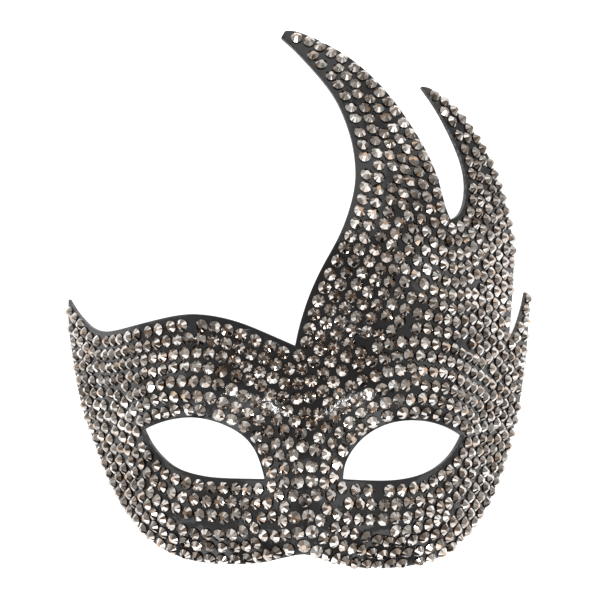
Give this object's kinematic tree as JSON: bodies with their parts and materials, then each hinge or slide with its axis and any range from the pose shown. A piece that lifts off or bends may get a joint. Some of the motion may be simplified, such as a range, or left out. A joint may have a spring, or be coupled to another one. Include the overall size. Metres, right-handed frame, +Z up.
{
  "type": "stone-set half mask",
  "caption": "Dark moulded half mask with two eye holes and two curved horns on one side, its whole front set with small faceted metallic stones in rows along the edges.",
  "frame": {"origin": "centre of the bounding box on the surface that the mask lies on", "axes": "+X to the right as seen from the front, towards the horned side; +Y up the forehead to the horn tips; +Z up, out of the face, with the mask lying on its side rims"},
  "size_m": [0.1622, 0.1752, 0.0573],
  "materials": {
    "shell_plastic": "charcoal moulded plastic with a satin gloss, slightly uneven under the stones, plainer inside",
    "metallic_stones": "smoky grey bronze mirror coating on sharply cut facets"
  },
  "bodies": {
    "root": {"shell": "shell_plastic", "stones": "metallic_stones"}
  },
  "joints": []
}
